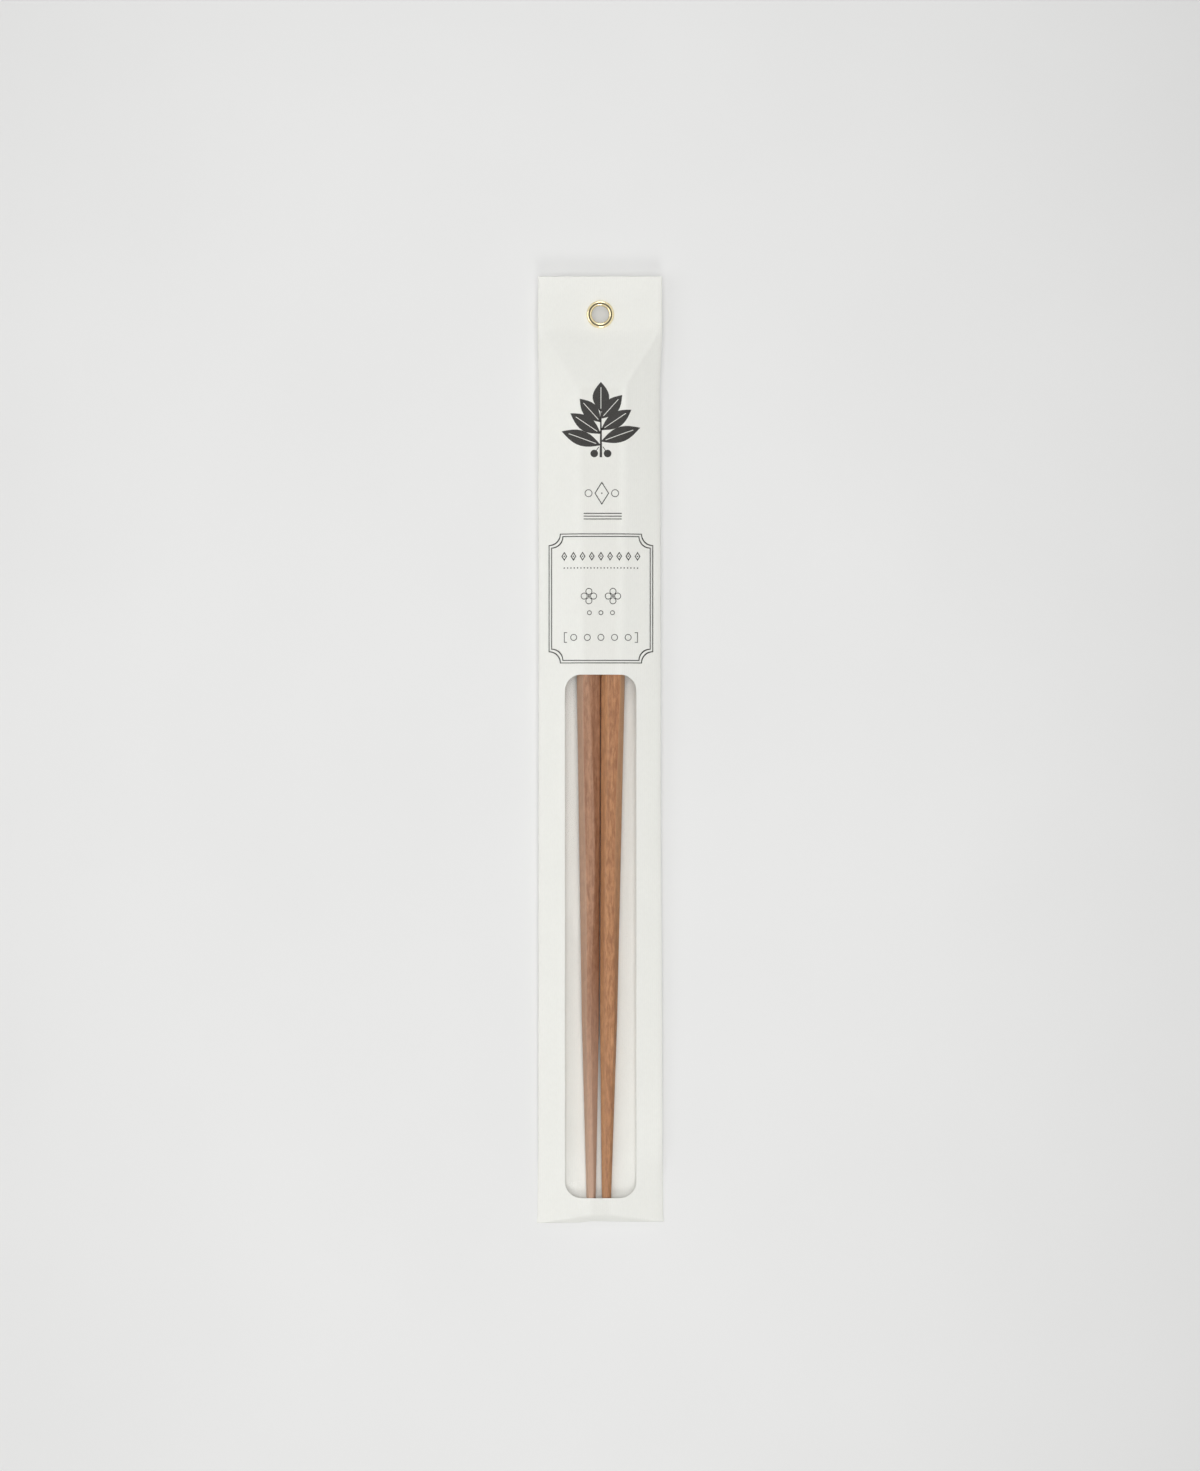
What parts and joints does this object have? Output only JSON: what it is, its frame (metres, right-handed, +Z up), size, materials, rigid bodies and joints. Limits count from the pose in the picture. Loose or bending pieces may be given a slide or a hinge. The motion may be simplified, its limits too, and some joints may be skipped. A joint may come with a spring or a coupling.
{
  "type": "chopsticks in paper sleeve",
  "caption": "Pair of octagonal tapered wooden chopsticks in a white paper sleeve with a clear window, printed ornament and a brass eyelet.",
  "frame": {"origin": "on the table under the middle of the sleeve's length and width", "axes": "+Z up out of the front panel, +Y along the sticks towards the eyelet, +X across"},
  "size_m": [0.0362, 0.27, 0.0095],
  "materials": {
    "paper": "smooth uncoated white paper",
    "film": "clear glossy film",
    "brass": "polished pale gold",
    "wood": "plain planed brown wood, fine lengthwise grain",
    "ink": "matt black printing ink"
  },
  "bodies": {
    "root": {"sleeve": "paper", "window_film": "film", "eyelet": "brass", "chopstick_left": "wood", "chopstick_right": "wood", "printed_ink": "ink"}
  },
  "joints": []
}
